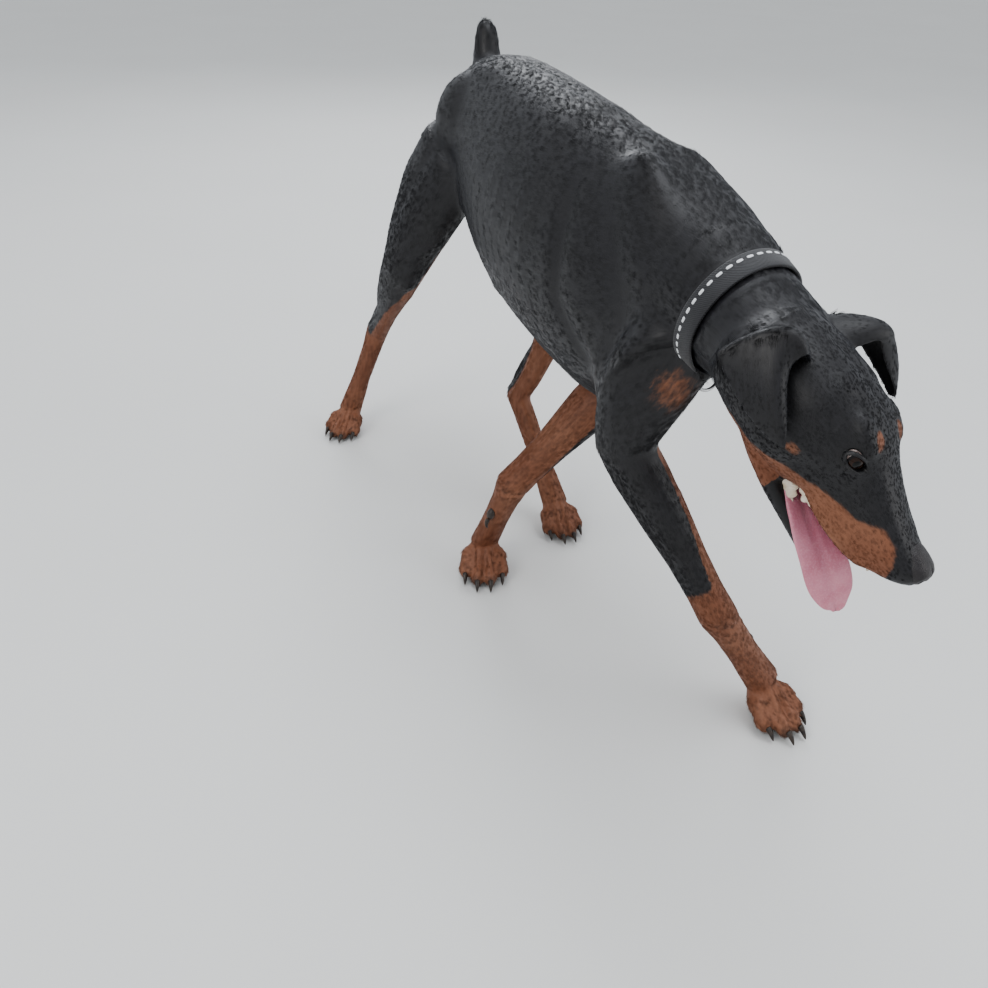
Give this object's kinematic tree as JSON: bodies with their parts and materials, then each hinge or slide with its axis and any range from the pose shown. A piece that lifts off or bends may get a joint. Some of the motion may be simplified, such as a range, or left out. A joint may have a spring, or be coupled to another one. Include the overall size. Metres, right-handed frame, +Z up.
{
  "type": "doberman pinscher model",
  "caption": "Life-size still model of a walking doberman pinscher, head low and mouth open, wearing a collar.",
  "frame": {"origin": "on the floor, under the middle of the model's bounding box", "axes": "+Z up, the dog walks towards -Y, its left side is +X"},
  "size_m": [0.3766, 1.0774, 0.6796],
  "materials": {
    "black_coat": "satin",
    "eye": "gloss",
    "nose_leather": "satin",
    "tongue": "satin",
    "collar_web": "matte",
    "collar_steel": "satin"
  },
  "bodies": {
    "root": {"torso": "black_coat", "neck": "black_coat", "head": "black_coat", "tail": "black_coat", "foreleg_left": "black_coat", "foreleg_right": "black_coat", "hindleg_left": "black_coat", "hindleg_right": "black_coat", "ear_left": "black_coat", "ear_right": "black_coat", "eye_left": "eye", "eye_right": "eye", "nose": "nose_leather", "tongue": "tongue", "collar": "collar_web", "collar_ring": "collar_steel"}
  },
  "joints": []
}
